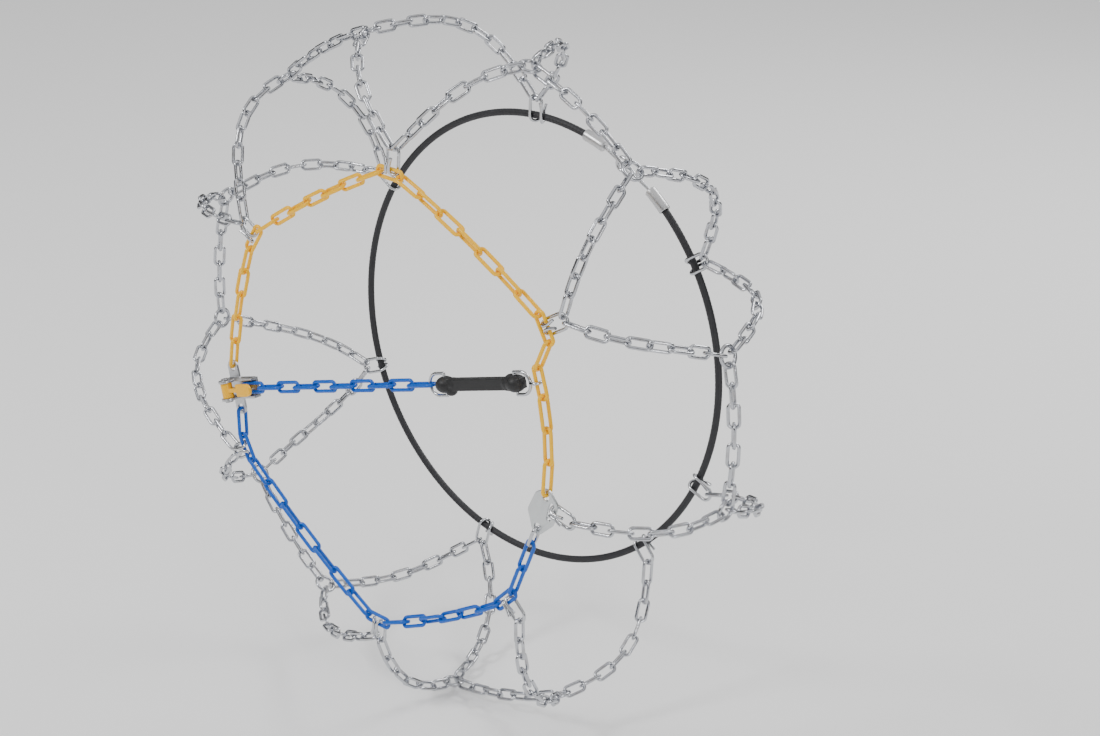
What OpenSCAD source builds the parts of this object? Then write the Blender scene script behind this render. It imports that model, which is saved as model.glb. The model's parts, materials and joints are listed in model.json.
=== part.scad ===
// Tyre snow chain: a net of cross chains laid over the tread, held by a coloured side chain
// on the outboard face, a cable hoop on the inboard face and a rubber tensioner across the wheel.
// The origin is the wheel centre, the axle lies along Y and the outboard face looks towards -Y.

/* [Tyre] */
// Outside diameter of the tyre that the chain fits
tyre_od = 634; // [560:1:720]
// Section width of the tyre
tyre_w = 190; // [165:1:225]
// Diameter at which the sidewall starts
rim_d = 410; // [360:1:440]
// Squareness of the tyre section, 2 is an ellipse
section_power = 2.8; // [2.4:0.1:3.2]
// Height of a cross chain's centreline over the rubber
chain_rise = 5.5; // [5:0.1:7]

/* [Cross chain] */
// Wire diameter of the cross chain links
link_wire = 3.1; // [2.8:0.1:3.6]
// Outside width of a cross chain link
link_w = 12.4; // [11.5:0.1:14]
// Nominal length that one link adds to a cross chain
link_pitch = 17; // [14:0.5:21]
// Play at each contact between two links
play = 0.4; // [0.2:0.05:0.6]
// How much faster a cross chain turns round the axle near the rim than near the tread
turn_power = 3.5; // [2:0.5:6]

/* [Tread rings] */
// Outside diameter of a tread ring
ring_od = 22; // [20:0.5:27]
// Wire diameter of a tread ring
ring_wire = 3.5; // [3:0.1:4.2]
// Distance of each ring from the middle of the tread, outboard, going round from the top
ring_shifts = [28, 25, 27, 6, 11, 10, 16, 20, 18, 15, 20, 22]; // [0:1:30]
// Angle between the two rings that share an attachment, going round from the top
v_spans = [34.5, 31, 56, 33, 30, 30]; // [26:1:60]
// Angle of the first ring after the top attachment
first_ring = 71; // [65:1:77]

/* [Side chains] */
// Wire diameter of the side chain links
side_wire = 3.5; // [3.2:0.1:4]
// Outside width of a side chain link
side_w = 12.5; // [12:0.1:14]
// Nominal length that one side chain link adds
side_pitch = 26; // [24:0.5:30]
// Distance that a side chain sags towards the axle between two attachments
side_sag = 4; // [0:0.5:5]
// Angles of the outer attachments, going round from the top
outer_angles = [86.5, 29.5, -15, -45.5, -93, -151, -214]; // [-214:0.5:90]
// Distance of the side chain beyond the rim at each outer attachment
outer_reach = [4, 15, 5, 11, 26, 10, -3]; // [-8:1:30]
// Radius beyond the rim of the point where the tensioner pulls on the side chain
pull_reach = -8; // [-12:1:0]
// Angle of the point where the tensioner pulls on the side chain
pull_angle = 17.5; // [15:0.5:19]

/* [Side hooks] */
// Wire diameter of the two-prong side hooks
hook_wire = 3; // [2.6:0.1:3.4]
// Half of the distance between a hook's legs
hook_half = 6.9; // [6.6:0.1:7.4]
// Length of a hook's straight legs
hook_leg = 13.4; // [12:0.2:17]
// Length of the straight part of a hook's bent-back tips
hook_tip = 4; // [3:0.5:7]
// Length of the spread ends of the tips
spread_len = 7; // [5:0.5:8]
// Angle at which the ends spread
spread_angle = 16; // [8:1:20]
// Largest angle at which a cross chain pulls round the hook's bow
hook_lean = 38; // [30:1:42]

/* [Inner hoop] */
// Radius of the cable hoop beyond the rim
hoop_reach = 18; // [10:1:24]
// Outside diameter of the sleeved cable
cable_d = 7; // [6:0.5:8]
// Angles of the inner attachments, going round from the top
inner_angles = [89, 31.5, -24, -50, -105, -160, -214]; // [-214:0.5:90]
// Middle of the hoop's closure
closure_angle = 60; // [55:1:65]
// Half of the angle left open for the closure
closure_half = 9; // [8:0.5:11]
// Diameter of the ferrules pressed on the cable
ferrule_d = 11; // [10:0.5:13]
// Length of the ferrules
ferrule_len = 20; // [16:1:24]

/* [Tensioner] */
// Distance between the rubber tensioner's two eyes
rubber_len = 85; // [75:1:95]
// Diameter of the rubber eyes
rubber_eye_d = 19; // [17:0.5:22]
// Height of a rubber eye across the wheel plane
rubber_eye_h = 13; // [11:0.5:15]
// Width of the rubber bar
rubber_bar_w = 13; // [11:0.5:14]
// Wire diameter of the bail and the tension hook
bail_wire = 3; // [2.6:0.1:3.4]
// Half of the distance between a bail's legs
bail_half = 10; // [9:0.1:11]
// Distance from the tension hook's pin to the side chain
hook_reach = 24; // [22:0.5:28]
// Number of links in the tension chain
tension_links = 10; // [8:2:12]
// Angle at which the tension chain crosses the wheel
tension_slope = 15; // [12:0.5:18]

/* [Closing plate] */
// Thickness of the closing plate
plate_t = 2.5; // [2:0.1:3]
// Radius of the closing plate's corners
plate_corner = 7; // [6:0.5:8]
// Radius of the holes in the closing plate
plate_hole = 3.6; // [3.3:0.1:4.2]

/* [Guide lock] */
// Length of the lock's base
lock_len = 40; // [36:1:42]
// Sheet thickness of the lock
lock_t = 2.5; // [2:0.1:3]
// Diameter of the lever's pin
pin_d = 5; // [4:0.5:6]
// Radial play of the lever on its pin
pin_play = 0.05; // [0.02:0.01:0.1]

/* [Hidden] */
$fn = 48;
round_fn = 32;
path_steps = 60;
cells = len(v_spans);
arms = 2 * cells;
run_span = (360 - sum(v_spans)) / cells;
rim_r = rim_d / 2;
half_w = tyre_w / 2 + chain_rise;
wall_h = (tyre_od - rim_d) / 2 + chain_rise;
ring_r = (ring_od - ring_wire) / 2;
ring_seat = ring_r - ring_wire / 2 - play / 2;
side_bow = (side_w - side_wire) / 2;
side_drop = side_wire / 2 + hook_wire / 2 + 0.1;
cable_drop = cable_d / 2 + hook_wire / 2 + 0.15;
hoop_r = rim_r + hoop_reach;
tip_gap = 0.3;
// Extra diameter of the ball at each bend of a wire hook
knuckle = 0.02;

// ---- vectors ----

function sum(v, i = 0) = i < len(v) ? v[i] + sum(v, i + 1) : 0;
function unit(v) = v / norm(v);
function mix(a, b, f) = a + (b - a) * f;
function radial(a) = [cos(a), 0, sin(a)];
function tangent(a) = [-sin(a), 0, cos(a)];
function at_angle(r, a, y) = [r * cos(a), y, r * sin(a)];
function polar_angle(p) = atan2(p[2], p[0]);
// Whole microns, so that faces which meet stay exactly together.
function neat(x) = round(1000 * x) / 1000;
function across(v, w) = unit(w - v * (v * w) / (v * v));

// Puts children at a point, with X along one vector and Z as near as it goes to another.
module place(origin, along, up) {
    x = unit(along);
    z = across(x, up);
    y = cross(z, x);
    multmatrix([
        [x[0], y[0], z[0], origin[0]],
        [x[1], y[1], z[1], origin[1]],
        [x[2], y[2], z[2], origin[2]],
        [0, 0, 0, 1]
    ])
        children();
}

// ---- the surface that the cross chains lie on ----

function lobe(c) = pow(abs(c), 2 / section_power);
function wall_r(t) = rim_r + wall_h * lobe(cos(t));
function wall_y(t) = sign(t) * half_w * lobe(sin(t));
function t_of_y(y) = sign(y) * asin(pow(abs(y) / half_w, section_power / 2));
function t_of_r(r) = acos(pow((r - rim_r) / wall_h, section_power / 2));

// Outward direction of the surface at a point.
function surface_up(p) =
    let (
        r = norm([p[0], p[2]]),
        gr = pow(max(r - rim_r, 0) / wall_h, section_power - 1) / wall_h,
        gy = sign(p[1]) * pow(abs(p[1]) / half_w, section_power - 1) / half_w
    )
    unit(radial(polar_angle(p)) * gr + [0, gy, 0]);

// ---- routes ----

// Running length along a list of points.
function running(pts) = [
    for (i = 0, s = 0; i < len(pts); i = i + 1, s = i < len(pts) ? s + norm(pts[i] - pts[i - 1]) : s) s
];
// Evenly spaced points from one length along a route to another.
function spaced(pts, from, to, n) =
    let (
        s = running(pts),
        tx = [for (i = [0:len(pts) - 1]) [s[i], pts[i][0]]],
        ty = [for (i = [0:len(pts) - 1]) [s[i], pts[i][1]]],
        tz = [for (i = [0:len(pts) - 1]) [s[i], pts[i][2]]]
    )
    [for (k = [0:n]) let (q = mix(from, to, k / n)) [lookup(q, tx), lookup(q, ty), lookup(q, tz)]];
function route_length(pts) = let (s = running(pts)) s[len(s) - 1];
function links_over(length, pitch) = max(1, round(length / pitch));

// A taut line over the surface turns faster where the radius is smaller.
function surface_route(a0, t0, a1, t1) =
    let (
        ts = [for (i = [0:path_steps]) mix(t0, t1, i / path_steps)],
        turn = [
            for (i = 0, w = 0; i <= path_steps; i = i + 1,
                w = i <= path_steps ? w + norm([
                    wall_r(ts[i]) - wall_r(ts[i - 1]),
                    wall_y(ts[i]) - wall_y(ts[i - 1])
                ]) / pow(wall_r(ts[i]) / rim_r, turn_power) : w) w
        ]
    )
    [
        for (i = [0:path_steps])
            at_angle(wall_r(ts[i]), mix(a0, a1, turn[i] / turn[path_steps]), wall_y(ts[i]))
    ];

// ---- rings and attachments ----

// Rings are numbered round from the top, two to each attachment.
function ring_angle(k) = k == 0 ? first_ring + v_spans[0]
    : k % 2 == 1 ? ring_angle(k - 1) - v_spans[(k - 1) / 2]
    : ring_angle(k - 1) - run_span;
// The split cell gives its two rings an attachment each.
function attachment(k) = [0, 0, 1, 1, 2, 3, 4, 4, 5, 5, 6, 6][k];

function side_r(j) = rim_r + outer_reach[j];
// Radius of the wire that a hook holds, and its place along the axle.
function outer_core_r(j) = side_r(j) + side_bow;
function seat_y(r, side) = side * half_w * lobe(sin(t_of_r(r + hook_leg + hook_half)));
function outer_core_y(j) = seat_y(outer_core_r(j), -1) - side_drop;
inner_core_y = seat_y(hoop_r, 1) + cable_drop;
function corner(j) = at_angle(side_r(j), outer_angles[j], outer_core_y(j));

// Centre of a hook's wire where a cross chain pulls on its bow.
function bow_core(core_r, a, side, lean) =
    radial(a) * (core_r + hook_leg + hook_half * cos(lean)) + tangent(a) * hook_half * sin(lean)
        + [0, seat_y(core_r, side), 0];

// The farther round the ring is, the more its chain leans round the bow. Two chains in one
// bow keep apart.
lean_gain = 1.8;
pair_lean = 20;
function mate(k) = k % 2 == 0 ? k + 1 : k - 1;
function lean_want(k, a_hook) = (ring_angle(k) - a_hook) * lean_gain;
function within(x, most) = max(-most, min(most, x));
function lean_for(k, a_hook) =
    attachment(mate(k)) != attachment(k) ? within(lean_want(k, a_hook), hook_lean)
        : within((lean_want(k, a_hook) + lean_want(mate(k), a_hook)) / 2, pair_lean)
            + (k % 2 == 0 ? hook_lean : -hook_lean);

function arm_hook(k, side) =
    let (
        j = attachment(k),
        a_hook = side < 0 ? outer_angles[j] : inner_angles[j],
        core_r = side < 0 ? outer_core_r(j) : hoop_r
    )
    bow_core(core_r, a_hook, side, lean_for(k, a_hook));

function arm_route(k, side) =
    let (
        end = arm_hook(k, side),
        a_near = side < 0 ? outer_angles[attachment(k)] : inner_angles[attachment(k)],
        a1 = a_near + atan2(end * tangent(a_near), end * radial(a_near))
    )
    surface_route(ring_angle(k), t_of_y(-ring_shifts[k]), a1, side * t_of_r(norm([end[0], end[2]])));

// Where a link that pulls towards a point ends, round a wire of some size.
function pull_end(core, wire, far) = core - unit(far - core) * (wire + play) / 2;

// ---- links ----

// One welded link, long axis X, width along Y. inner is the clear length inside it.
module link(inner, wide, wire) {
    bow = (wide - wire) / 2;
    half = neat((inner + wire) / 2 - bow);
    for (s = [-1, 1])
        translate([0, s * bow, 0])
            rotate([0, 90, 0])
                cylinder(d = wire, h = 2 * half, center = true);
    for (turn = [0, 180])
        rotate(turn)
            translate([half, 0, 0])
                rotate(-90)
                    rotate_extrude(angle = 180)
                        translate([bow, 0])
                            circle(d = wire, $fn = round_fn);
}

// Roll of link k of n about the chain. Neighbours stand a quarter turn apart, and the links
// at the two ends stand up more, to clear the ring or the hook.
end_lean = 36;
function cross_roll(k, n) =
    let (
        f = n > 1 ? k / (n - 1) : 0,
        end_sign = (n - 1) % 2 == 0 ? 1 : -1,
        lean = f < 0.5 ? end_lean * (1 - 2 * f) : end_sign * end_lean * (2 * f - 1)
    )
    (k % 2 == 0 ? 45 : -45) + lean;

module cross_links(joints) {
    n = len(joints) - 1;
    for (k = [0:n - 1]) {
        a = joints[k];
        b = joints[k + 1];
        place((a + b) / 2, b - a, surface_up((a + b) / 2))
            rotate([cross_roll(k, n), 0, 0])
                link(norm(b - a) + play, link_w, link_wire);
    }
}

module arm(k, side) {
    route = arm_route(k, side);
    last = route_length(route) - hook_wire / 2;
    n = links_over(last - ring_seat, link_pitch);
    inner = spaced(route, ring_seat, last, n);
    ring_core = route[0] + across(surface_up(route[0]), inner[1] - route[0]) * ring_r;
    cross_links([
        pull_end(ring_core, ring_wire, inner[1]),
        for (i = [1:n - 1]) inner[i],
        pull_end(arm_hook(k, side), hook_wire, inner[n - 1])
    ]);
}

function tread_point(a, shift) = at_angle(wall_r(t_of_y(-shift)), a, -shift);

module tread_run(k) {
    first = 2 * k - 1;
    next = (2 * k) % arms;
    a0 = ring_angle(first);
    route = [
        for (i = [0:path_steps]) let (f = i / path_steps)
            tread_point(a0 - run_span * f, mix(ring_shifts[first], ring_shifts[next], f))
    ];
    total = route_length(route);
    n = links_over(total - 2 * ring_seat, link_pitch);
    color("silver")
        cross_links(spaced(route, ring_seat, total - ring_seat, n));
}

module tread_rings() {
    color("silver")
        for (k = [0:arms - 1]) {
            p = tread_point(ring_angle(k), ring_shifts[k]);
            place(p, tangent(ring_angle(k)), surface_up(p))
                rotate_extrude()
                    translate([ring_r, 0])
                        circle(d = ring_wire, $fn = round_fn);
        }
}

// ---- side hooks ----

// Two-prong wire hook. X runs along the held wire, Y away from the axle, Z away from the tyre.
// Its two tips are bent back over the wire and spread at their ends.
module side_hook(drop) {
    tip_x = hook_wire / 2 + tip_gap;
    half_gap = (hook_half - tip_x) / 2;
    bend_r = norm([half_gap, drop]);
    translate([0, hook_leg, -drop])
        rotate_extrude(angle = 180)
            translate([hook_half, 0])
                circle(d = hook_wire, $fn = round_fn);
    for (m = [0, 1])
        mirror([m, 0, 0]) {
            translate([hook_half, 0, -drop]) {
                sphere(d = hook_wire + knuckle);
                rotate([-90, 0, 0])
                    cylinder(d = hook_wire, h = hook_leg);
            }
            translate([tip_x + half_gap, 0, 0])
                rotate([0, atan2(drop, half_gap), 0])
                    rotate(180)
                        rotate_extrude(angle = 180)
                            translate([bend_r, 0])
                                circle(d = hook_wire, $fn = round_fn);
            translate([tip_x, 0, drop]) {
                sphere(d = hook_wire + knuckle);
                rotate([-90, 0, 0])
                    cylinder(d = hook_wire, h = hook_tip);
            }
            translate([tip_x, hook_tip, drop]) {
                sphere(d = hook_wire + knuckle);
                rotate([-90, 0, 0])
                    rotate([0, spread_angle, 0])
                        cylinder(d = hook_wire, h = spread_len);
            }
        }
}

module hook_at(r, a, y, side, drop)
    place(at_angle(r, a, y), tangent(a) * side, [0, side, 0])
        side_hook(drop);

module outer_hooks() {
    color("silver")
        for (j = [0:len(outer_angles) - 1])
            hook_at(outer_core_r(j), outer_angles[j], outer_core_y(j), -1, side_drop);
}

module inner_hooks() {
    color("silver")
        for (a = inner_angles)
            hook_at(hoop_r, a, inner_core_y, 1, cable_drop);
}

// ---- side chains ----

// Roll of link k of n between two flat neighbours. An even number of links shares out the
// quarter turn that it lacks, and an odd number twists a little and back.
side_twist = 5;
function side_roll(k, n) =
    n % 2 == 1 ? 90 * (k + 1) + side_twist * (n - 1) * sin(180 * (k + 1) / (n + 1))
        : (90 - 90 / (n + 1)) * (k + 1);

// Straight stretch of side chain. skip leaves out links that belong to another piece.
module side_span(from, to, skip = 0) {
    n = links_over(norm(to - from), side_pitch);
    in = unit(cross(to - from, [0, 1, 0])) * side_sag;
    joints = [for (k = [0:n]) let (f = k / n) mix(from, to, f) + in * (n > 2 ? 4 * f * (1 - f) : 0)];
    for (k = [0:n - 1]) {
        p = joints[k];
        q = joints[k + 1];
        place((p + q) / 2, q - p, [0, -1, 0])
            rotate([side_roll(k + skip, n + skip), 0, 0])
                link(norm(q - p) + play, side_w, side_wire);
    }
}

// The flat link that a hook holds, and its two ends.
module flat_link(p, a)
    place(p, tangent(a), [0, -1, 0])
        link(side_pitch + play, side_w, side_wire);
bow_in = side_w / 2 - side_wire;
function bow_end(p, a, s, far) =
    let (core = p + tangent(a) * s * ((side_pitch + play) / 2 - bow_in))
    core + unit(far - core) * (bow_in - play / 2);
function ahead(p, a, far) = bow_end(p, a, 1, far);
function behind(p, a, far) = bow_end(p, a, -1, far);
function ahead_of(j, far) = ahead(corner(j), outer_angles[j], far);
function behind_of(j, far) = behind(corner(j), outer_angles[j], far);

pull_r = rim_r + pull_reach;
pull_point = at_angle(pull_r, pull_angle, outer_core_y(1));

// ---- tension line ----

// X runs along the line towards the tensioner, Y is the upward normal in the wheel plane.
line_x = radial(tension_slope);
line_up = tangent(tension_slope);
line_y = pull_point[1];
pull_wire = pull_point - radial(pull_angle) * side_bow;
hook_pin = pull_wire - line_x * hook_reach;
bail_pin = hook_pin - line_x * rubber_len;
bail_leg = 9;
eye_gap = 0.5;
bail_seat = bail_pin - line_x * (bail_leg + bail_half - bail_wire / 2 - play / 2);
function tension_joint(k) = bail_seat - line_x * (tension_links - k) * side_pitch;

module on_line(p)
    place(p, line_x, [0, -1, 0])
        children();

// Odd links lie flat in the wheel plane, even links stand across it.
module tension_link(k) {
    color("royalblue")
        on_line((tension_joint(k - 1) + tension_joint(k)) / 2)
            rotate([k % 2 == 1 ? 0 : 90, 0, 0])
                link(side_pitch + play, side_w, side_wire);
}

// Wire loop with a cross pin at the origin, opening towards +X.
module pinned_loop(leg, half) {
    rotate([90, 0, 0])
        cylinder(d = bail_wire, h = 2 * half, center = true);
    for (s = [-1, 1])
        translate([0, s * half, 0]) {
            sphere(d = bail_wire);
            rotate([0, 90, 0])
                cylinder(d = bail_wire, h = leg);
        }
    translate([leg, 0, 0])
        rotate(-90)
            rotate_extrude(angle = 180)
                translate([half, 0])
                    circle(d = bail_wire, $fn = round_fn);
}

module tensioner_bail() {
    color("silver")
        on_line(bail_pin)
            rotate(180)
                pinned_loop(bail_leg, bail_half);
}

// A bar with a round eye at each end, and a thicker neck where each eye meets the bar.
module rubber_tensioner() {
    eye_w = 2 * (bail_half - bail_wire / 2 - eye_gap);
    neck_x = rubber_eye_d * 0.52;
    bar_len = rubber_len - rubber_eye_d * 0.7;
    color("#222222")
        on_line(bail_pin)
            difference() {
                union() {
                    for (x = [0, rubber_len])
                        rubber_boss(x, rubber_eye_d, eye_w);
                    for (x = [neck_x, rubber_len - neck_x])
                        rubber_boss(x, rubber_eye_h, eye_w - 2);
                    translate([rubber_len / 2, 0, 0])
                        cube([bar_len, rubber_bar_w, rubber_bar_w - 2], center = true);
                }
                for (x = [0, rubber_len])
                    rubber_boss(x, bail_wire + 2 * pin_play, eye_w + 2);
            }
}

module rubber_boss(x, d, h)
    translate([x, 0, 0])
        rotate([90, 0, 0])
            cylinder(d = d, h = h, center = true);

// The crook passes over the inner wire of the pulled link and opens towards the tyre, so that
// swinging the tensioner outwards frees it.
module tension_hook() {
    inside = bail_half - bail_wire / 2;
    loop_leg = rubber_eye_d / 2 - sqrt(inside * inside - pow(inside - eye_gap, 2)) + eye_gap;
    crook_r = (side_wire + bail_wire) / 2 + 0.9;
    crook_tip = 3;
    shank_x = loop_leg + bail_half;
    shank = hook_reach - shank_x;
    color("silver")
        on_line(hook_pin) {
            pinned_loop(loop_leg, bail_half);
            translate([shank_x, 0, 0]) {
                sphere(d = bail_wire + knuckle);
                rotate([0, atan2(-crook_r, shank) + 90, 0])
                    cylinder(d = bail_wire, h = norm([shank, crook_r]));
            }
            translate([hook_reach, 0, crook_r])
                sphere(d = bail_wire + knuckle);
            translate([hook_reach, 0, 0])
                rotate([90, 0, 0])
                    rotate_extrude(angle = 90)
                        translate([crook_r, 0])
                            circle(d = bail_wire, $fn = round_fn);
            translate([hook_reach + crook_r, 0, -crook_tip]) {
                sphere(d = bail_wire + knuckle);
                cylinder(d = bail_wire, h = crook_tip);
            }
        }
}

// ---- closing plate ----

plate_angle = outer_angles[2];
plate_origin = at_angle(outer_core_r(2), plate_angle, outer_core_y(2));
// Corner centres, with X against the turning direction and Y away from the axle.
plate_top = [-11, -12.5];
plate_low = [21, -13.5];
strip_w = 3.4;
slot_w = 5.6;
slot_half = hook_half + hook_wire / 2 + 0.2;
plate_edge = strip_w / 2 - plate_corner;
plate_outline = [plate_top, [-6, plate_edge], [9, plate_edge], plate_low, [9, -21], [-6, -18]];

function on_plate_point(q) = plate_origin - tangent(plate_angle) * q[0] + radial(plate_angle) * q[1];

module closing_plate() {
    slot_mid = -strip_w / 2 - slot_w / 2;
    slot_run = slot_half - slot_w / 2;
    color("gainsboro")
        place(plate_origin, tangent(plate_angle) * -1, [0, -1, 0])
            difference() {
                translate([0, 0, -plate_t / 2])
                    linear_extrude(plate_t)
                        hull()
                            for (q = plate_outline)
                                translate(q)
                                    circle(r = plate_corner, $fn = round_fn);
                translate([0, slot_mid, -plate_t])
                    linear_extrude(plate_t * 2)
                        hull()
                            for (s = [-1, 1])
                                translate([s * slot_run, 0])
                                    circle(d = slot_w, $fn = round_fn);
                for (q = [plate_top, plate_low])
                    translate([q[0], q[1], 0])
                        cylinder(r = plate_hole, h = plate_t * 2, center = true);
            }
}

// ---- guide lock ----

// The frame's origin is the tension chain's first bow, held by the lever's tooth. X runs along
// the chain, Y is upward in the wheel plane and Z points outboard.
lock_origin = tension_joint(0) - line_x * (side_wire + play) / 2;
lock_half = side_w / 2 + 1.3;
base_top = -side_wire / 2 - 1.2;
base_z = base_top - lock_t / 2;
boss_r = pin_d / 2 + 4.5;
pin_x = -14;
pin_z = 9;
lock_back = pin_x - 8;
ear_x = pin_x;
ear_y = lock_half + lock_t + 10;
ear_r = plate_hole + 3.4;
cheek_h = 6.5;
rivet_play = 0.02;

function on_lock_point(q) = lock_origin + line_x * q[0] + line_up * q[1] + [0, -q[2], 0];

module cheek_outline() {
    translate([lock_back, base_top])
        square([lock_len, cheek_h]);
    translate([pin_x - boss_r, base_top])
        square([2 * boss_r, pin_z - base_top]);
    translate([pin_x, pin_z])
        circle(r = boss_r);
}

module lock_housing() {
    floor_w = 2 * (lock_half + lock_t);
    color("lightsteelblue")
        on_line(lock_origin)
            difference() {
                union() {
                    translate([lock_back, -floor_w / 2, base_top - lock_t])
                        cube([lock_len, floor_w, lock_t]);
                    translate([ear_x - ear_r, -ear_y, base_top - lock_t])
                        cube([2 * ear_r, 2 * ear_y, lock_t]);
                    for (s = [-1, 1]) {
                        translate([ear_x, s * ear_y, base_top - lock_t])
                            cylinder(r = ear_r, h = lock_t);
                        translate([0, s * (lock_half + lock_t / 2) + lock_t / 2, 0])
                            rotate([90, 0, 0])
                                linear_extrude(lock_t)
                                    cheek_outline();
                    }
                }
                for (s = [-1, 1])
                    translate([ear_x, s * ear_y, base_z])
                        cylinder(r = plate_hole, h = lock_t * 2, center = true);
                across_lock(pin_d + 2 * rivet_play, floor_w * 2);
            }
}

// A cylinder along the lever's pin.
module across_lock(d, h)
    translate([pin_x, 0, pin_z])
        rotate([90, 0, 0])
            cylinder(d = d, h = h, center = true);

module lock_pin() {
    head_d = pin_d + 3;
    head_h = 1.6;
    shank = 2 * (lock_half + lock_t + 0.1);
    color("dimgray")
        on_line(lock_origin) {
            across_lock(pin_d, shank);
            for (s = [-1, 1])
                translate([0, s * (shank + head_h) / 2, 0])
                    across_lock(head_d, head_h);
        }
}

// A hub on the pin, an arm over the first bow, a tooth inside the first link and a finger tab.
module lock_lever() {
    hub_r = pin_d / 2 + 3.1;
    tooth_w = side_w - 2 * side_wire - 1.9;
    tooth_len = 5;
    tooth_x = side_wire / 2 + 1;
    tooth_z = -2.2;
    arm_low = side_wire / 2 + 1.6;
    arm_top = pin_z + 3;
    tab_len = 14;
    tab_w = 12;
    tab_t = 3;
    color("gold")
        on_line(lock_origin)
            difference() {
                union() {
                    across_lock(2 * hub_r, 2 * lock_half - 0.6);
                    translate([pin_x, -tooth_w / 2, arm_low])
                        cube([tooth_x + tooth_len - pin_x, tooth_w, arm_top - arm_low]);
                    translate([tooth_x, -tooth_w / 2, tooth_z])
                        cube([tooth_len, tooth_w, arm_low - tooth_z + 1]);
                    translate([tooth_x, -tab_w / 2, arm_top - tab_t])
                        cube([tab_len, tab_w, tab_t]);
                    translate([tooth_x + tab_len, 0, arm_top - tab_t])
                        cylinder(d = tab_w, h = tab_t);
                }
                across_lock(pin_d + 2 * pin_play, lock_half * 4);
            }
}

// ---- side chain routes ----

// A link through a hole pulls on the side of the hole that it leaves by.
seat_ease = 0.5;
function hole_seat(hole, far) = hole + unit(far - hole) * (plate_hole - play / 2 - seat_ease);
top_end = behind(pull_point, pull_angle, on_plate_point(plate_top));
top_seat = hole_seat(on_plate_point(plate_top), top_end);
low_end = ahead_of(3, on_plate_point(plate_low));
low_seat = hole_seat(on_plate_point(plate_low), low_end);
ear_high = on_lock_point([ear_x, ear_y, base_z]);
ear_low = on_lock_point([ear_x, -ear_y, base_z]);
high_end = ahead_of(6, ear_high);
last_end = behind_of(5, ear_low);
clip_len = 17;
clip_end = low_seat + unit(low_end - low_seat) * clip_len;

module upper_side_chain() {
    color("gold") {
        for (j = [6, 0, 1])
            flat_link(corner(j), outer_angles[j]);
        flat_link(pull_point, pull_angle);
        side_span(hole_seat(ear_high, high_end), high_end);
        side_span(behind_of(6, corner(0)), ahead_of(0, corner(6)));
        side_span(behind_of(0, corner(1)), ahead_of(1, corner(0)));
        side_span(behind_of(1, pull_point), ahead(pull_point, pull_angle, corner(1)));
        side_span(top_end, top_seat);
    }
}

module lower_side_chain() {
    color("royalblue") {
        for (j = [3, 4, 5])
            flat_link(corner(j), outer_angles[j]);
        side_span(clip_end, low_end, 1);
        side_span(behind_of(3, corner(4)), ahead_of(4, corner(3)));
        side_span(behind_of(4, corner(5)), ahead_of(5, corner(4)));
        side_span(last_end, hole_seat(ear_low, last_end));
    }
}

module plate_link() {
    color("silver")
        place((low_seat + clip_end) / 2, clip_end - low_seat, [0, -1, 0])
            rotate([90, 0, 0])
                link(clip_len + play, side_w, hook_wire);
}

// ---- inner hoop ----

cable_y = inner_core_y;
stub = 1;

module hoop_arc(from, sweep)
    translate([0, cable_y, 0])
        rotate([90, 0, 0])
            rotate(from)
                rotate_extrude(angle = sweep)
                    translate([hoop_r, 0])
                        children();

module inner_cable() {
    color("dimgray")
        hoop_arc(closure_angle + closure_half, 360 - 2 * closure_half)
            circle(d = cable_d, $fn = round_fn);
}

// Sleeves on the cable's ends. Each has a solid end that the hook or the eye screws into.
module cable_ferrules() {
    sweep = ferrule_len / hoop_r * 180 / PI;
    color("silver")
        for (side = [-1, 1]) {
            near = closure_angle + side * closure_half;
            difference() {
                hoop_arc(side > 0 ? near - stub : near - sweep, sweep + stub)
                    circle(d = ferrule_d, $fn = round_fn);
                hoop_arc(side > 0 ? near : near - sweep - 1, sweep + 1)
                    circle(d = cable_d, $fn = round_fn);
            }
        }
}

// Half of the gap between the ferrules, and its distance from the axle.
gap_half = hoop_r * sin(closure_half - stub);
gap_drop = hoop_r * cos(closure_half - stub);
eye_r = 6.2;
eye_wire = 3.5;
closure_wire = 3.4;
thread_gap = 0.3;

// X runs with the turning direction, Y away from the axle, Z away from the tyre.
module at_closure()
    place(at_angle(gap_drop, closure_angle, cable_y), tangent(closure_angle), [0, 1, 0])
        children();

module cable_eye() {
    color("silver")
        at_closure() {
            translate([eye_r, 0, 0])
                rotate_extrude()
                    translate([eye_r, 0])
                        circle(d = eye_wire, $fn = round_fn);
            translate([2 * eye_r, 0, 0])
                rotate([0, 90, 0])
                    cylinder(d = closure_wire, h = gap_half - 2 * eye_r - thread_gap);
        }
}

module cable_hook() {
    crook_r = (eye_wire + closure_wire) / 2 + 0.2;
    rise_x = -12;
    tail = 5;
    color("silver")
        at_closure() {
            translate([thread_gap - gap_half, 0, 0])
                rotate([0, 90, 0])
                    cylinder(d = closure_wire, h = gap_half + rise_x - thread_gap);
            translate([rise_x, 0, 0])
                sphere(d = closure_wire + knuckle);
            translate([rise_x, 0, 0])
                rotate([0, atan2(-rise_x, crook_r), 0])
                    cylinder(d = closure_wire, h = norm([rise_x, crook_r]));
            for (s = [-1, 1])
                translate([0, 0, s * crook_r])
                    sphere(d = closure_wire + knuckle);
            rotate([90, 0, 0])
                rotate(-90)
                    rotate_extrude(angle = 180)
                        translate([crook_r, 0])
                            circle(d = closure_wire, $fn = round_fn);
            translate([-tail, 0, -crook_r])
                rotate([0, 90, 0])
                    cylinder(d = closure_wire, h = tail);
        }
}

// ---- nodes ----

module outer_arm(k) {
    color("silver")
        arm(k - 1, -1);
}
module inner_arm(k) {
    color("silver")
        arm(k - 1, 1);
}

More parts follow.
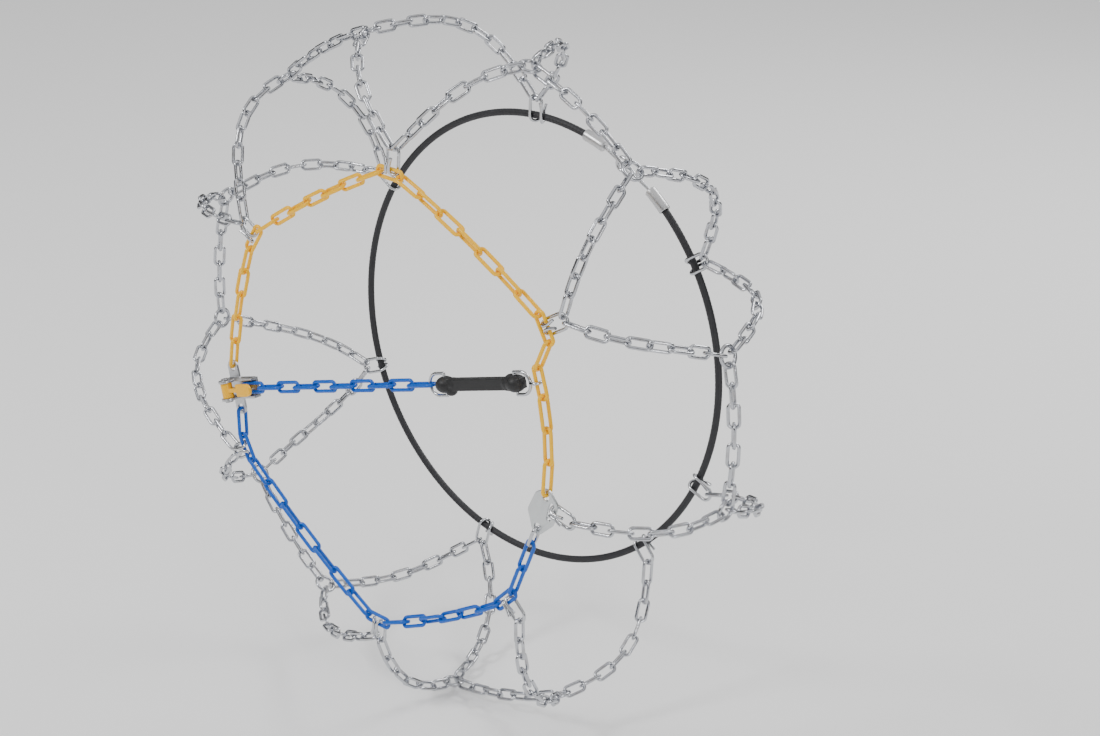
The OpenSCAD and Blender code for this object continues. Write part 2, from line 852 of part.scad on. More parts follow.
for (k = [1:arms])
    outer_arm(k);
for (k = [1:arms])
    inner_arm(k);
for (k = [1:cells])
    tread_run(k);
tread_rings();
outer_hooks();
inner_hooks();
upper_side_chain();
lower_side_chain();
closing_plate();
plate_link();
for (k = [1:tension_links])
    tension_link(k);
tensioner_bail();
rubber_tensioner();
tension_hook();
lock_housing();
lock_lever();
lock_pin();
inner_cable();
cable_ferrules();
cable_hook();
cable_eye();
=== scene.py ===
import json
import math

import bmesh
import bpy
import numpy as np
from mathutils import Matrix, Vector


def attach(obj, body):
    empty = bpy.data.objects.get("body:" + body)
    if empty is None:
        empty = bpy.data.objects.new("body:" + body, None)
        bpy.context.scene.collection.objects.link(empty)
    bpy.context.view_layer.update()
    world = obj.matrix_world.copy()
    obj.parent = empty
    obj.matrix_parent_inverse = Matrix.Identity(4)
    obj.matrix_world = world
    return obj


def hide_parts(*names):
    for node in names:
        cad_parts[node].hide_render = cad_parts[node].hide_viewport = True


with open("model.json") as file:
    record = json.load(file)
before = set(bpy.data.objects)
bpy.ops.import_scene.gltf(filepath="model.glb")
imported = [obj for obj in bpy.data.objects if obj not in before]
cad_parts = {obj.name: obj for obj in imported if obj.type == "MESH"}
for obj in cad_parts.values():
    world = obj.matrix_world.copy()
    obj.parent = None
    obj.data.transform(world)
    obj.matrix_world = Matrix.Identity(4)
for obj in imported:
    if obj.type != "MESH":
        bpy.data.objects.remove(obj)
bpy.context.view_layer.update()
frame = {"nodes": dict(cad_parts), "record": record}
cadNodes = frame["nodes"]
bodies = frame["record"]["behaviour"]["bodies"]
bodyOfNode = {node: body for body, members in bodies.items() for node in members}
slotOfNode = {part["node"]: part["material_slot"] for part in frame["record"]["subparts"]}
print("frame loaded:", len(cadNodes), "nodes")


def intoScene(thing):
    bpy.context.scene.collection.objects.link(thing)
    return thing


# Camera, floor and light

studio = {
    "azimuth": 43.03,      # degrees round the wheel from straight on
    "elevation": 19.94,
    "roll": 0.09,
    "distance": 2.0277,
    "lens": 70.76,
    "sensor": 36,
    "shift": (0.082, -0.0014),
    "clipEnd": 50,
    "floorZ": -0.332,
    "floorHalf": 12,
    "floorColour": (0.94, 0.94, 0.94, 1),
    "floorRoughness": 0.9,
    "floorSpecular": 0.1,
    "skyStrength": 0.8,
    # height in the sky from 0 to 1, and its brightness
    "skyBands": [(0.30, 0.25), (0.46, 0.02), (0.66, 0.02), (0.76, 0.9), (0.95, 1.3)],
    # name, place, size, watts
    "lights": [
        ("keyLight", (-1.4, -2.6, 2.4), (0.9, 0.7), 68),
        ("sideLight", (2.8, -1.2, 0.9), (0.4, 1.4), 22),
        ("backLight", (0.4, 2.6, 2.0), (1.4, 0.8), 45),
    ],
}


def placeCamera():
    azimuth, elevation = math.radians(studio["azimuth"]), math.radians(studio["elevation"])
    away = Vector((math.sin(azimuth) * math.cos(elevation),
                   -math.cos(azimuth) * math.cos(elevation), math.sin(elevation)))
    camera = intoScene(bpy.data.objects.new("camera", bpy.data.cameras.new("camera")))
    camera.location = away * studio["distance"]
    turn = (-away).to_track_quat("-Z", "Y").to_matrix()
    roll = Matrix.Rotation(math.radians(studio["roll"]), 3, "Z")
    camera.rotation_euler = (turn @ roll).to_euler()
    camera.data.lens = studio["lens"]
    camera.data.sensor_width = studio["sensor"]
    camera.data.shift_x, camera.data.shift_y = studio["shift"]
    camera.data.clip_end = studio["clipEnd"]
    bpy.context.scene.camera = camera


def softbox(name, place, size, watts):
    light = intoScene(bpy.data.objects.new(name, bpy.data.lights.new(name, "AREA")))
    light.data.shape = "RECTANGLE"
    light.data.size, light.data.size_y = size
    light.data.energy = watts
    light.location = place
    light.rotation_euler = (-Vector(place)).to_track_quat("-Z", "Y").to_euler()


def makeFloor():
    half, z = studio["floorHalf"], studio["floorZ"]
    corners = [(-half, -half, z), (half, -half, z), (half, half, z), (-half, half, z)]
    mesh = bpy.data.meshes.new("floor")
    mesh.from_pydata(corners, [], [(0, 1, 2, 3)])
    floor = intoScene(bpy.data.objects.new("floor", mesh))
    paper, _, shader = startMaterial("floorPaper")
    shader.inputs["Base Color"].default_value = studio["floorColour"]
    shader.inputs["Roughness"].default_value = studio["floorRoughness"]
    shader.inputs["Specular IOR Level"].default_value = studio["floorSpecular"]
    mesh.materials.append(paper)


def makeSky():
    world = bpy.data.worlds.new("studio")
    bpy.context.scene.world = world
    world.use_nodes = True
    tree = world.node_tree
    sky = tree.nodes["Background"]
    sky.inputs["Strength"].default_value = studio["skyStrength"]
    # a dark band at the horizon gives the bright metal its edges
    toward = addNode(tree, "ShaderNodeSeparateXYZ",
                     i0=addNode(tree, "ShaderNodeTexCoord").outputs["Generated"])
    height = addNode(tree, "ShaderNodeMapRange", Value=toward.outputs[2], From_Min=-1)
    ramp = addNode(tree, "ShaderNodeValToRGB", i0=height.outputs[0])
    while len(ramp.color_ramp.elements) < len(studio["skyBands"]):
        ramp.color_ramp.elements.new(0.5)
    for stop, (where, shade) in zip(ramp.color_ramp.elements, studio["skyBands"]):
        stop.position = where
        stop.color = (shade, shade, shade, 1)
    tree.links.new(ramp.outputs[0], sky.inputs["Color"])


# Node helpers: a socket is given by its name, or by i and its number

def newTree(name, kind, inputs, outputs):
    tree = bpy.data.node_groups.new(name, kind)
    for socket, socketKind, value in inputs:
        made = tree.interface.new_socket(name=socket, in_out="INPUT", socket_type=socketKind)
        if value is not None:
            made.default_value = value
    for socket, socketKind in outputs:
        tree.interface.new_socket(name=socket, in_out="OUTPUT", socket_type=socketKind)
    given = tree.nodes.new("NodeGroupInput").outputs
    return tree, given, tree.nodes.new("NodeGroupOutput").inputs


def addNode(tree, kind, settings=None, **sockets):
    node = tree.nodes.new(kind)
    for key, value in (settings or {}).items():
        setattr(node, key, value)
    for key, value in sockets.items():
        numbered = key[0] == "i" and key[1:].isdigit()
        socket = node.inputs[int(key[1:]) if numbered else key.replace("_", " ")]
        if isinstance(value, bpy.types.NodeSocket):
            tree.links.new(value, socket)
        else:
            socket.default_value = value
    return node


def calc(tree, operation, *values):
    sockets = {f"i{k}": value for k, value in enumerate(values)}
    return addNode(tree, "ShaderNodeMath", {"operation": operation}, **sockets).outputs[0]


def startMaterial(name):
    material = bpy.data.materials.new(name)
    material.use_nodes = True
    tree = material.node_tree
    return material, tree, tree.nodes["Principled BSDF"]


placeCamera()
makeSky()
for light in studio["lights"]:
    softbox(*light)
makeFloor()
print("camera and studio ready")


# Materials

def blotchGroup():
    tree, given, result = newTree(
        "blotches", "ShaderNodeTree",
        [("Scale", "NodeSocketFloat", 400.0), ("Fine Scale", "NodeSocketFloat", 2600.0),
         ("Mix", "NodeSocketFloat", 0.5)],
        [("Value", "NodeSocketFloat")])
    place = addNode(tree, "ShaderNodeTexCoord").outputs["Object"]
    broad = addNode(tree, "ShaderNodeTexNoise", Vector=place, Scale=given["Scale"], Detail=3.0)
    fine = addNode(tree, "ShaderNodeTexNoise", Vector=place, Scale=given["Fine Scale"], Detail=2.0)
    mixed = addNode(tree, "ShaderNodeMix", {"data_type": "FLOAT"}, i0=given["Mix"],
                    i2=broad.outputs[0], i3=fine.outputs[0])
    tree.links.new(mixed.outputs[0], result[0])
    return tree


def rubGroup():
    fade = 0.12
    tree, given, result = newTree(
        "rubbed", "ShaderNodeTree",
        [("Start", "NodeSocketFloat", 0.6), ("Scale", "NodeSocketFloat", 900.0),
         ("Raggedness", "NodeSocketFloat", 0.5)],
        [("Mask", "NodeSocketFloat")])
    near = addNode(tree, "ShaderNodeAttribute", {"attribute_name": "rub"}).outputs["Fac"]
    place = addNode(tree, "ShaderNodeTexCoord").outputs["Object"]
    noise = addNode(tree, "ShaderNodeTexNoise", Vector=place, Scale=given["Scale"], Detail=4.0)
    centred = calc(tree, "SUBTRACT", noise.outputs[0], 0.5)
    rough = calc(tree, "ADD", near, calc(tree, "MULTIPLY", centred, given["Raggedness"]))
    edge = addNode(tree, "ShaderNodeMapRange", {"interpolation_type": "SMOOTHSTEP"}, Value=rough,
                   From_Min=given["Start"], From_Max=calc(tree, "ADD", given["Start"], fade))
    tree.links.new(edge.outputs[0], result[0])
    return tree


blotches = blotchGroup()
rubbed = rubGroup()


def useGroup(tree, group, **values):
    return addNode(tree, "ShaderNodeGroup", {"node_tree": group}, **values).outputs[0]


def colourMix(tree, factor, a, b):
    return addNode(tree, "ShaderNodeMix", {"data_type": "RGBA"}, i0=factor, i6=a, i7=b).outputs[2]


def numberRange(tree, value, low, high):
    return addNode(tree, "ShaderNodeMapRange", Value=value, To_Min=low, To_Max=high).outputs[0]


def addBump(tree, shader, height, strength, distance):
    bump = addNode(tree, "ShaderNodeBump", Height=height, Strength=strength, Distance=distance)
    tree.links.new(bump.outputs[0], shader.inputs["Normal"])


steelLook = {
    "mix": 0.45,
    "scorch": 0.45,       # share of the weld's colour
    "scorched": (0.34, 0.32, 0.31, 1),
    "bump": 0.25,
    "bumpDepth": 0.0002,
}


def platedSteel(name, light, dark, roughness, scale=500.0, fine=3200.0):
    material, tree, shader = startMaterial(name)
    shader.inputs["Metallic"].default_value = 1.0
    spots = useGroup(tree, blotches, Scale=scale, Fine_Scale=fine, Mix=steelLook["mix"])
    weld = addNode(tree, "ShaderNodeAttribute", {"attribute_name": "weld"}).outputs["Fac"]
    tint = colourMix(tree, numberRange(tree, spots, 0.0, 1.0), dark, light)
    scorch = calc(tree, "MULTIPLY", weld, steelLook["scorch"])
    scorched = colourMix(tree, scorch, tint, steelLook["scorched"])
    tree.links.new(scorched, shader.inputs["Base Color"])
    tree.links.new(numberRange(tree, spots, *roughness), shader.inputs["Roughness"])
    addBump(tree, shader, spots, steelLook["bump"], steelLook["bumpDepth"])
    return material


paintLook = {
    "coat": 0.1,
    "coatRoughness": 0.15,
    "specular": 0.35,
    "spots": {"Scale": 260.0, "Fine_Scale": 1500.0, "Mix": 0.4},
    "wear": {"Scale": 700.0, "Raggedness": 0.35},
    "roughness": (0.28, 0.46),
    "bump": 0.35,
    "bumpDepth": 0.0003,
}


def paintedSteel(name, paint, deep, bare, wearStart):
    material, tree, shader = startMaterial(name)
    shader.inputs["Coat Weight"].default_value = paintLook["coat"]
    shader.inputs["Coat Roughness"].default_value = paintLook["coatRoughness"]
    shader.inputs["Specular IOR Level"].default_value = paintLook["specular"]
    spots = useGroup(tree, blotches, **paintLook["spots"])
    worn = useGroup(tree, rubbed, Start=wearStart, **paintLook["wear"])
    tint = colourMix(tree, numberRange(tree, spots, 0.0, 1.0), deep, paint)
    tree.links.new(colourMix(tree, worn, tint, bare), shader.inputs["Base Color"])
    tree.links.new(worn, shader.inputs["Metallic"])
    roughness = numberRange(tree, spots, *paintLook["roughness"])
    tree.links.new(roughness, shader.inputs["Roughness"])
    addBump(tree, shader, spots, paintLook["bump"], paintLook["bumpDepth"])
    return material


rubberLook = {
    "specular": 0.4,
    "spots": {"Scale": 140.0, "Fine_Scale": 2200.0, "Mix": 0.6},
    "spread": (-0.3, 1.2),
    "roughness": (0.38, 0.62),
    "bump": 0.5,
    "bumpDepth": 0.0003,
}


def mouldedRubber(name, colour, grey):
    material, tree, shader = startMaterial(name)
    shader.inputs["Specular IOR Level"].default_value = rubberLook["specular"]
    spots = useGroup(tree, blotches, **rubberLook["spots"])
    tint = colourMix(tree, numberRange(tree, spots, *rubberLook["spread"]), colour, grey)
    tree.links.new(tint, shader.inputs["Base Color"])
    roughness = numberRange(tree, spots, *rubberLook["roughness"])
    tree.links.new(roughness, shader.inputs["Roughness"])
    addBump(tree, shader, spots, rubberLook["bump"], rubberLook["bumpDepth"])
    return material


# each metal: name, bright colour, dark colour, range of roughness, and the size of its spots
finishes = {
    "chain_zinc": platedSteel("zincLinks", (0.66, 0.67, 0.70, 1), (0.36, 0.37, 0.40, 1), (0.14, 0.34)),
    "ring_steel": platedSteel("zincRings", (0.62, 0.63, 0.66, 1), (0.34, 0.35, 0.38, 1), (0.16, 0.36)),
    "hook_steel": platedSteel("zincWire", (0.68, 0.69, 0.71, 1), (0.40, 0.41, 0.43, 1), (0.12, 0.30)),
    "plate_steel": platedSteel("zincSheet", (0.70, 0.72, 0.72, 1), (0.50, 0.52, 0.53, 1),
                               (0.24, 0.46), 180.0, 2400.0),
    "lock_steel": platedSteel("lockSheet", (0.62, 0.63, 0.64, 1), (0.42, 0.43, 0.45, 1),
                              (0.26, 0.46), 180.0, 2400.0),
    "pin_steel": platedSteel("rivetSteel", (0.50, 0.50, 0.51, 1), (0.32, 0.32, 0.34, 1), (0.30, 0.50)),
    "ferrule_steel": platedSteel("ferruleMetal", (0.64, 0.64, 0.64, 1), (0.44, 0.44, 0.45, 1),
                                 (0.28, 0.48)),
    # each paint: name, colour, deeper colour, bare metal, and where the wear starts
    "yellow_paint": paintedSteel("yellowPaint", (1.0, 0.62, 0.0, 1), (0.98, 0.44, 0.0, 1),
                                 (0.62, 0.60, 0.55, 1), 1.04),
    "blue_paint": paintedSteel("bluePaint", (0.0, 0.13, 0.62, 1), (0.0, 0.07, 0.42, 1),
                               (0.58, 0.58, 0.60, 1), 1.04),
    "lever_paint": paintedSteel("leverPaint", (1.0, 0.58, 0.0, 1), (0.92, 0.40, 0.0, 1),
                                (0.62, 0.60, 0.55, 1), 2.0),
    "black_rubber": mouldedRubber("blackRubber", (0.007, 0.007, 0.008, 1), (0.024, 0.024, 0.025, 1)),
    "cable_sleeve": mouldedRubber("cableSleeve", (0.010, 0.010, 0.012, 1), (0.035, 0.035, 0.040, 1)),
}
print("materials ready:", len(finishes))


# Reading the CAD solids

def pointsOf(nodeName):
    mesh = cadNodes[nodeName].data
    spots = np.zeros(len(mesh.vertices) * 3, np.float32)
    mesh.vertices.foreach_get("co", spots)
    return spots.reshape(-1, 3).astype(float)


def solidsOf(nodeName):
    mesh = cadNodes[nodeName].data
    spots = pointsOf(nodeName)
    edges = np.zeros(len(mesh.edges) * 2, np.int64)
    mesh.edges.foreach_get("vertices", edges)
    grain = 2e-6
    keys = np.round(spots / grain).astype(np.int64)
    _, first, same = np.unique(keys, axis=0, return_index=True, return_inverse=True)
    ends = same.ravel()[edges.reshape(-1, 2)]
    # each point takes the lowest label that it is joined to, until none changes
    label = np.arange(len(first))
    while True:
        low = np.minimum(label[ends[:, 0]], label[ends[:, 1]])
        new = label.copy()
        np.minimum.at(new, ends[:, 0], low)
        np.minimum.at(new, ends[:, 1], low)
        new = new[new]
        if (new == label).all():
            break
        label = new
    where = spots[first]
    return [where[label == k] for k in np.unique(label)]


def ownFrame(points):
    middle = points.mean(0)
    _, _, axes = np.linalg.svd(points - middle, full_matrices=False)
    if np.linalg.det(axes) < 0:
        axes[2] *= -1
    local = (points - middle) @ axes.T
    low, high = local.min(0), local.max(0)
    centre = middle + ((low + high) / 2) @ axes
    return centre, axes, high - low


# Growing a piece from points, and handing it over

def quaternionOf(axes):
    turn = Matrix([list(axis) for axis in axes]).transposed().to_quaternion()
    return (turn.w, turn.x, turn.y, turn.z)


def placesMesh(name, centres, turns, stretches):
    mesh = bpy.data.meshes.new(name)
    mesh.from_pydata([tuple(centre) for centre in centres], [], [])
    turn = mesh.attributes.new("turn", "QUATERNION", "POINT")
    turn.data.foreach_set("value", np.ravel(turns).astype(np.float32))
    stretch = mesh.attributes.new("stretch", "FLOAT_VECTOR", "POINT")
    stretch.data.foreach_set("vector", np.ravel(stretches).astype(np.float32))
    return mesh


def grown(name, mesh, tree, values):
    source = intoScene(bpy.data.objects.new(name + "Places", mesh))
    modifier = source.modifiers.new("grow", "NODES")
    modifier.node_group = tree
    for item in tree.interface.items_tree:
        if item.item_type == "SOCKET" and item.in_out == "INPUT" and item.name in values:
            modifier[item.identifier] = values[item.name]
    shown = source.evaluated_get(bpy.context.evaluated_depsgraph_get())
    result = bpy.data.meshes.new_from_object(shown)
    result.name = name
    bpy.data.objects.remove(source)
    return intoScene(bpy.data.objects.new(name, result))


def finishPiece(piece, nodeName):
    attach(piece, bodyOfNode[nodeName])
    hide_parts(nodeName)
    return piece


def plainName(nodeName):
    words = nodeName.split("_")
    return words[0] + "".join(word.capitalize() for word in words[1:]) + "Detail"


# Links and rings

linkSettings = {
    "steps": 40,          # points round one link's centre line
    "sides": 12,          # sides of the wire
    "straight": 3.0,      # how fast the round end runs into the straight side
    "flat": 1.06,         # how flat the sides are
    "ringFlat": 1.0,
    "weldSwell": 0.16,    # extra wire radius at the weld
    "weldShort": 4.0,     # how short the weld is
    "seed": 7,
}


def makeLinkTree():
    tree, given, result = newTree("weldedLinks", "GeometryNodeTree", [
        ("Places", "NodeSocketGeometry", None),
        ("Length", "NodeSocketFloat", 0.023), ("Width", "NodeSocketFloat", 0.0124),
        ("Wire", "NodeSocketFloat", 0.0031), ("Steps", "NodeSocketInt", linkSettings["steps"]),
        ("Sides", "NodeSocketInt", linkSettings["sides"]),
        ("Seed", "NodeSocketInt", linkSettings["seed"]),
        ("Weld Swell", "NodeSocketFloat", linkSettings["weldSwell"]),
        ("Flat", "NodeSocketFloat", linkSettings["flat"]), ("Finish", "NodeSocketMaterial", None),
    ], [("Mesh", "NodeSocketGeometry")])

    def marked(geometry, name, value):
        kind = {"data_type": "FLOAT", "domain": "POINT"}
        return addNode(tree, "GeometryNodeStoreNamedAttribute", kind,
                       Geometry=geometry, Name=name, Value=value).outputs[0]

    def attribute(name, kind):
        return addNode(tree, "GeometryNodeInputNamedAttribute", {"data_type": kind}, Name=name).outputs[0]

    def clamped(value):
        return addNode(tree, "ShaderNodeClamp", Value=value, Min=-1.0, Max=1.0).outputs[0]

    # a circle of radius 1 is stretched into the link's centre line
    bow = calc(tree, "MULTIPLY", calc(tree, "SUBTRACT", given["Width"], given["Wire"]), 0.5)
    halfLine = calc(tree, "MULTIPLY", calc(tree, "SUBTRACT", given["Length"], given["Wire"]), 0.5)
    reach = calc(tree, "SUBTRACT", halfLine, bow)
    circle = addNode(tree, "GeometryNodeCurvePrimitiveCircle", Resolution=given["Steps"], Radius=1.0)
    position = addNode(tree, "GeometryNodeInputPosition").outputs[0]
    place = addNode(tree, "ShaderNodeSeparateXYZ", Vector=position).outputs
    push = clamped(calc(tree, "MULTIPLY", place[0], linkSettings["straight"]))
    x = calc(tree, "ADD", calc(tree, "MULTIPLY", place[0], bow), calc(tree, "MULTIPLY", push, reach))
    y = calc(tree, "MULTIPLY", clamped(calc(tree, "MULTIPLY", place[1], given["Flat"])), bow)

    # the weld is in the middle of one long side
    alongSide = calc(tree, "ABSOLUTE", place[0])
    closeness = calc(tree, "SUBTRACT", 1.0, calc(tree, "MULTIPLY", alongSide, linkSettings["weldShort"]))
    topSide = calc(tree, "GREATER_THAN", place[1], 0.0)
    weld = calc(tree, "MULTIPLY", calc(tree, "MAXIMUM", closeness, 0.0), topSide)
    line = marked(marked(circle.outputs[0], "weld", weld), "rub", alongSide)
    line = addNode(tree, "GeometryNodeSetPosition", Geometry=line,
                   Position=addNode(tree, "ShaderNodeCombineXYZ", X=x, Y=y).outputs[0])
    swell = calc(tree, "ADD", 1.0, calc(tree, "MULTIPLY", attribute("weld", "FLOAT"), given["Weld Swell"]))
    line = addNode(tree, "GeometryNodeSetCurveRadius", Curve=line.outputs[0], Radius=swell)
    profile = addNode(tree, "GeometryNodeCurvePrimitiveCircle", Resolution=given["Sides"],
                      Radius=calc(tree, "MULTIPLY", given["Wire"], 0.5))
    swept = addNode(tree, "GeometryNodeCurveToMesh", Curve=line.outputs[0],
                    Profile_Curve=profile.outputs[0])
    smooth = addNode(tree, "GeometryNodeSetShadeSmooth", Geometry=swept.outputs[0])

    copies = addNode(tree, "GeometryNodeInstanceOnPoints", Points=given["Places"],
                     Instance=smooth.outputs[0], Rotation=attribute("turn", "QUATERNION"),
                     Scale=attribute("stretch", "FLOAT_VECTOR"))
    # half of the links, by chance, are turned over
    flip = addNode(tree, "FunctionNodeRandomValue", {"data_type": "INT"}, i4=0, i5=1, Seed=given["Seed"])
    half = calc(tree, "MULTIPLY", flip.outputs[2], math.pi)
    turned = addNode(tree, "GeometryNodeRotateInstances", Instances=copies.outputs[0],
                     Rotation=addNode(tree, "ShaderNodeCombineXYZ", X=half).outputs[0])
    real = addNode(tree, "GeometryNodeRealizeInstances", Geometry=turned.outputs[0])
    painted = addNode(tree, "GeometryNodeSetMaterial", Geometry=real.outputs[0], Material=given["Finish"])
    tree.links.new(painted.outputs[0], result[0])
    return tree


linkTree = makeLinkTree()


def linksFor(nodeName, flat):
    found = [ownFrame(points) for points in solidsOf(nodeName)]
    sizes = np.array([size for _, _, size in found])
    length, width, wire = (float(np.median(sizes[:, k])) for k in range(3))
    mesh = placesMesh(nodeName, [centre for centre, _, _ in found],
                      [quaternionOf(axes) for _, axes, _ in found],
                      [(size[0] / length, 1, 1) for size in sizes])
    piece = grown(plainName(nodeName), mesh, linkTree, {
        "Length": length, "Width": width, "Wire": wire, "Seed": sum(map(ord, nodeName)),
        "Steps": linkSettings["steps"], "Sides": linkSettings["sides"],
        "Weld Swell": linkSettings["weldSwell"], "Flat": flat,
        "Finish": finishes[slotOfNode[nodeName]]})
    finishPiece(piece, nodeName)


chainStarts = ("outer_arm_", "inner_arm_", "tread_run_", "tension_link_")
linkNodes = [nodeName for nodeName in cadNodes if nodeName.startswith(chainStarts)]
linkNodes += ["upper_side_chain", "lower_side_chain", "plate_link"]
for nodeName in linkNodes:
    linksFor(nodeName, linkSettings["flat"])
linksFor("tread_rings", linkSettings["ringFlat"])
print("links and rings made for", len(linkNodes) + 1, "nodes")


# Cable

cableSettings = {
    "steps": 520,         # points along the hoop
    "sides": 56,
    "lobes": 7,           # strands that show through the sleeve
    "depth": 0.00016,     # depth between two strands
    "turns": 46.0,        # turns of the twist in the whole hoop
}


def makeCableTree():
    tree, given, result = newTree("twistedCable", "GeometryNodeTree", [
        ("Places", "NodeSocketGeometry", None),
        ("Hoop Radius", "NodeSocketFloat", 0.223), ("From", "NodeSocketFloat", 0.0),
        ("Sweep", "NodeSocketFloat", 6.0), ("Cable Radius", "NodeSocketFloat", 0.0035),
        ("Middle", "NodeSocketFloat", 0.0), ("Depth", "NodeSocketFloat", cableSettings["depth"]),
        ("Turns", "NodeSocketFloat", cableSettings["turns"]), ("Finish", "NodeSocketMaterial", None),
    ], [("Mesh", "NodeSocketGeometry")])
    line = addNode(tree, "GeometryNodeMeshLine", {"mode": "OFFSET"}, Count=cableSettings["steps"])
    index = addNode(tree, "GeometryNodeInputIndex").outputs[0]
    share = calc(tree, "DIVIDE", index, cableSettings["steps"] - 1.0)
    angle = calc(tree, "ADD", given["From"], calc(tree, "MULTIPLY", share, given["Sweep"]))
    spot = addNode(tree, "ShaderNodeCombineXYZ",
                   X=calc(tree, "MULTIPLY", calc(tree, "COSINE", angle), given["Hoop Radius"]),
                   Z=calc(tree, "MULTIPLY", calc(tree, "SINE", angle), given["Hoop Radius"]))
    placed = addNode(tree, "GeometryNodeSetPosition", Geometry=line.outputs[0], Position=spot.outputs[0])
    curve = addNode(tree, "GeometryNodeMeshToCurve", Mesh=placed.outputs[0])
    twist = calc(tree, "MULTIPLY", share, calc(tree, "MULTIPLY", given["Turns"], 2 * math.pi))
    tilted = addNode(tree, "GeometryNodeSetCurveTilt", Curve=curve.outputs[0], Tilt=twist)

    # the outline dips between two strands
    circle = addNode(tree, "GeometryNodeCurvePrimitiveCircle", Resolution=cableSettings["sides"],
                     Radius=1.0)
    around = calc(tree, "MULTIPLY", index, 2 * math.pi / cableSettings["sides"])
    wave = calc(tree, "COSINE", calc(tree, "MULTIPLY", around, float(cableSettings["lobes"])))
    halfDepth = calc(tree, "MULTIPLY", given["Depth"], 0.5)
    dip = calc(tree, "MULTIPLY", calc(tree, "SUBTRACT", wave, 1.0), halfDepth)
    position = addNode(tree, "GeometryNodeInputPosition").outputs[0]
    scaled = addNode(tree, "ShaderNodeVectorMath", {"operation": "SCALE"}, i0=position,
                     Scale=calc(tree, "ADD", given["Cable Radius"], dip))
    outline = addNode(tree, "GeometryNodeSetPosition", Geometry=circle.outputs[0],
                      Position=scaled.outputs[0])
    swept = addNode(tree, "GeometryNodeCurveToMesh", Curve=tilted.outputs[0],
                    Profile_Curve=outline.outputs[0], Fill_Caps=True)
    smooth = addNode(tree, "GeometryNodeSetShadeSmooth", Geometry=swept.outputs[0])
    moved = addNode(tree, "GeometryNodeSetPosition", Geometry=smooth.outputs[0],
                    Offset=addNode(tree, "ShaderNodeCombineXYZ", Y=given["Middle"]).outputs[0])
    real = addNode(tree, "GeometryNodeRealizeInstances", Geometry=moved.outputs[0])
    painted = addNode(tree, "GeometryNodeSetMaterial", Geometry=real.outputs[0], Material=given["Finish"])
    tree.links.new(painted.outputs[0], result[0])
    return tree


def makeCable():
    hoop = pointsOf("inner_cable")
    reachOut = np.hypot(hoop[:, 0], hoop[:, 2])
    angles = np.sort(np.arctan2(hoop[:, 2], hoop[:, 0]))
    # the hoop is open at the widest gap between its points
    gaps = np.diff(np.append(angles, angles[0] + 2 * math.pi))
    widest = int(gaps.argmax())
    seed = bpy.data.meshes.new("cableSeed")
    seed.from_pydata([(0, 0, 0)], [], [])
    piece = grown("innerCableDetail", seed, makeCableTree(), {
        "Hoop Radius": float((reachOut.min() + reachOut.max()) / 2),
        "From": float(angles[(widest + 1) % len(angles)]),
        "Sweep": float(2 * math.pi - gaps[widest]),
        "Cable Radius": float((reachOut.max() - reachOut.min()) / 2),
        "Middle": float((hoop[:, 1].min() + hoop[:, 1].max()) / 2),
        "Depth": cableSettings["depth"], "Turns": cableSettings["turns"],
        "Finish": finishes["cable_sleeve"]})
    finishPiece(piece, "inner_cable")


makeCable()
print("cable made")


# Sheet metal and rubber

def copyOf(nodeName):
    piece = intoScene(bpy.data.objects.new(plainName(nodeName), cadNodes[nodeName].data.copy()))
    work = bmesh.new()
    work.from_mesh(piece.data)
    bmesh.ops.remove_doubles(work, verts=work.verts, dist=1e-6)
    bmesh.ops.dissolve_limit(work, angle_limit=math.radians(0.5), verts=work.verts, edges=work.edges)
    work.to_mesh(piece.data)
    work.free()
    piece.data.materials.clear()
    return piece


def baked(piece, sharp=None):
    shown = piece.evaluated_get(bpy.context.evaluated_depsgraph_get())
    mesh = bpy.data.meshes.new_from_object(shown)
    piece.modifiers.clear()
    piece.data = mesh
    mesh.shade_smooth()
    if sharp is not None:
        mesh.set_sharp_from_angle(angle=math.radians(sharp))


edgeSettings = {
    "segments": 3,
    "bevelOver": 35,      # degrees between two faces
    "sharpOver": 40,
    "widths": {
        "closing_plate": 0.0006, "lock_housing": 0.0005, "lock_lever": 0.0008,
        "lock_pin": 0.0004, "cable_ferrules": 0.0008,
    },
}


def softened(nodeName, width):
    piece = copyOf(nodeName)
    bevel = piece.modifiers.new("edges", "BEVEL")
    bevel.width = width
    bevel.segments = edgeSettings["segments"]
    bevel.limit_method = "ANGLE"
    bevel.angle_limit = math.radians(edgeSettings["bevelOver"])
    bevel.harden_normals = False
    baked(piece, edgeSettings["sharpOver"])
    piece.data.materials.append(finishes[slotOfNode[nodeName]])
    finishPiece(piece, nodeName)


for nodeName, width in edgeSettings["widths"].items():
    softened(nodeName, width)


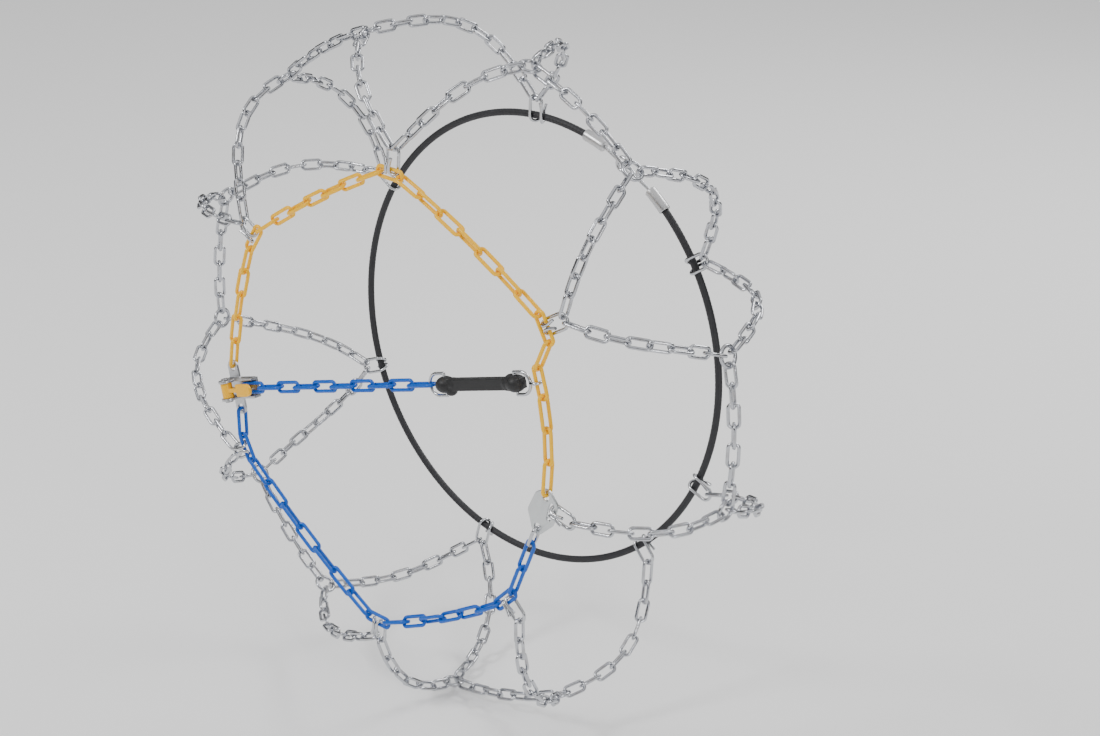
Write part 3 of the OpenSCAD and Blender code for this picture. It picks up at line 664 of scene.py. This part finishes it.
rubberSettings = {
    "voxel": 0.00055,
    "rounds": 9,
    "smoothing": 0.6,
    # place and half size as shares of the solid's: along the bar, along the axle, across both
    "bar": ((0, 0, 0), (0.80, 0.50, 0.66)),
    "balls": [
        ((-0.82, 0, 0), (0.178, 0.94, 0.96)), ((0.82, 0, 0), (0.178, 0.96, 0.98)),
        ((-0.68, 0.1, -0.66), (0.11, 0.56, 0.62)), ((-0.62, 0, 0), (0.13, 0.62, 0.80)),
        ((0.66, 0, 0), (0.15, 0.66, 0.84)), ((0.73, 0, 0.42), (0.12, 0.6, 0.66)),
    ],
    "tip": ((0.90, 0, 0), (0.075, 0.52, 0.62)),
}


def makeRubber():
    centre, axes, size = ownFrame(pointsOf("rubber_tensioner"))
    if axes[0][0] < 0:
        axes[0] *= -1
    outboard = np.array([0, -1, 0])
    upward = np.cross(axes[0], outboard) * -1
    second, third = (1, 2) if abs(axes[1][1]) > 0.5 else (2, 1)
    half = size[[0, second, third]] / 2
    turn = Matrix([list(axes[0]), list(outboard), list(upward)]).transposed().to_4x4()
    home = Matrix.Translation(Vector(centre)) @ turn

    def shapeAt(spot, share):
        shift = Matrix.Translation(Vector([spot[k] * half[k] for k in range(3)]))
        return home @ shift @ Matrix.Diagonal(Vector([share[k] * half[k] for k in range(3)] + [1]))

    work = bmesh.new()
    for spot, share in rubberSettings["balls"]:
        bmesh.ops.create_icosphere(work, subdivisions=4, radius=1, matrix=shapeAt(spot, share))
    for spot, share in (rubberSettings["bar"], rubberSettings["tip"]):
        bmesh.ops.create_cube(work, size=2, matrix=shapeAt(spot, share))
    mesh = bpy.data.meshes.new("rubberTensionerDetail")
    work.to_mesh(mesh)
    work.free()
    piece = intoScene(bpy.data.objects.new("rubberTensionerDetail", mesh))
    skin = piece.modifiers.new("skin", "REMESH")
    skin.mode = "VOXEL"
    skin.voxel_size = rubberSettings["voxel"]
    soften = piece.modifiers.new("soften", "SMOOTH")
    soften.factor = rubberSettings["smoothing"]
    soften.iterations = rubberSettings["rounds"]
    baked(piece)
    piece.data.materials.append(finishes["black_rubber"])
    finishPiece(piece, "rubber_tensioner")


makeRubber()
print("fittings made")


# The wire fittings show the CAD itself

for nodeName, node in cadNodes.items():
    if not node.hide_render:
        node.data.materials.clear()
        node.data.materials.append(finishes[slotOfNode[nodeName]])
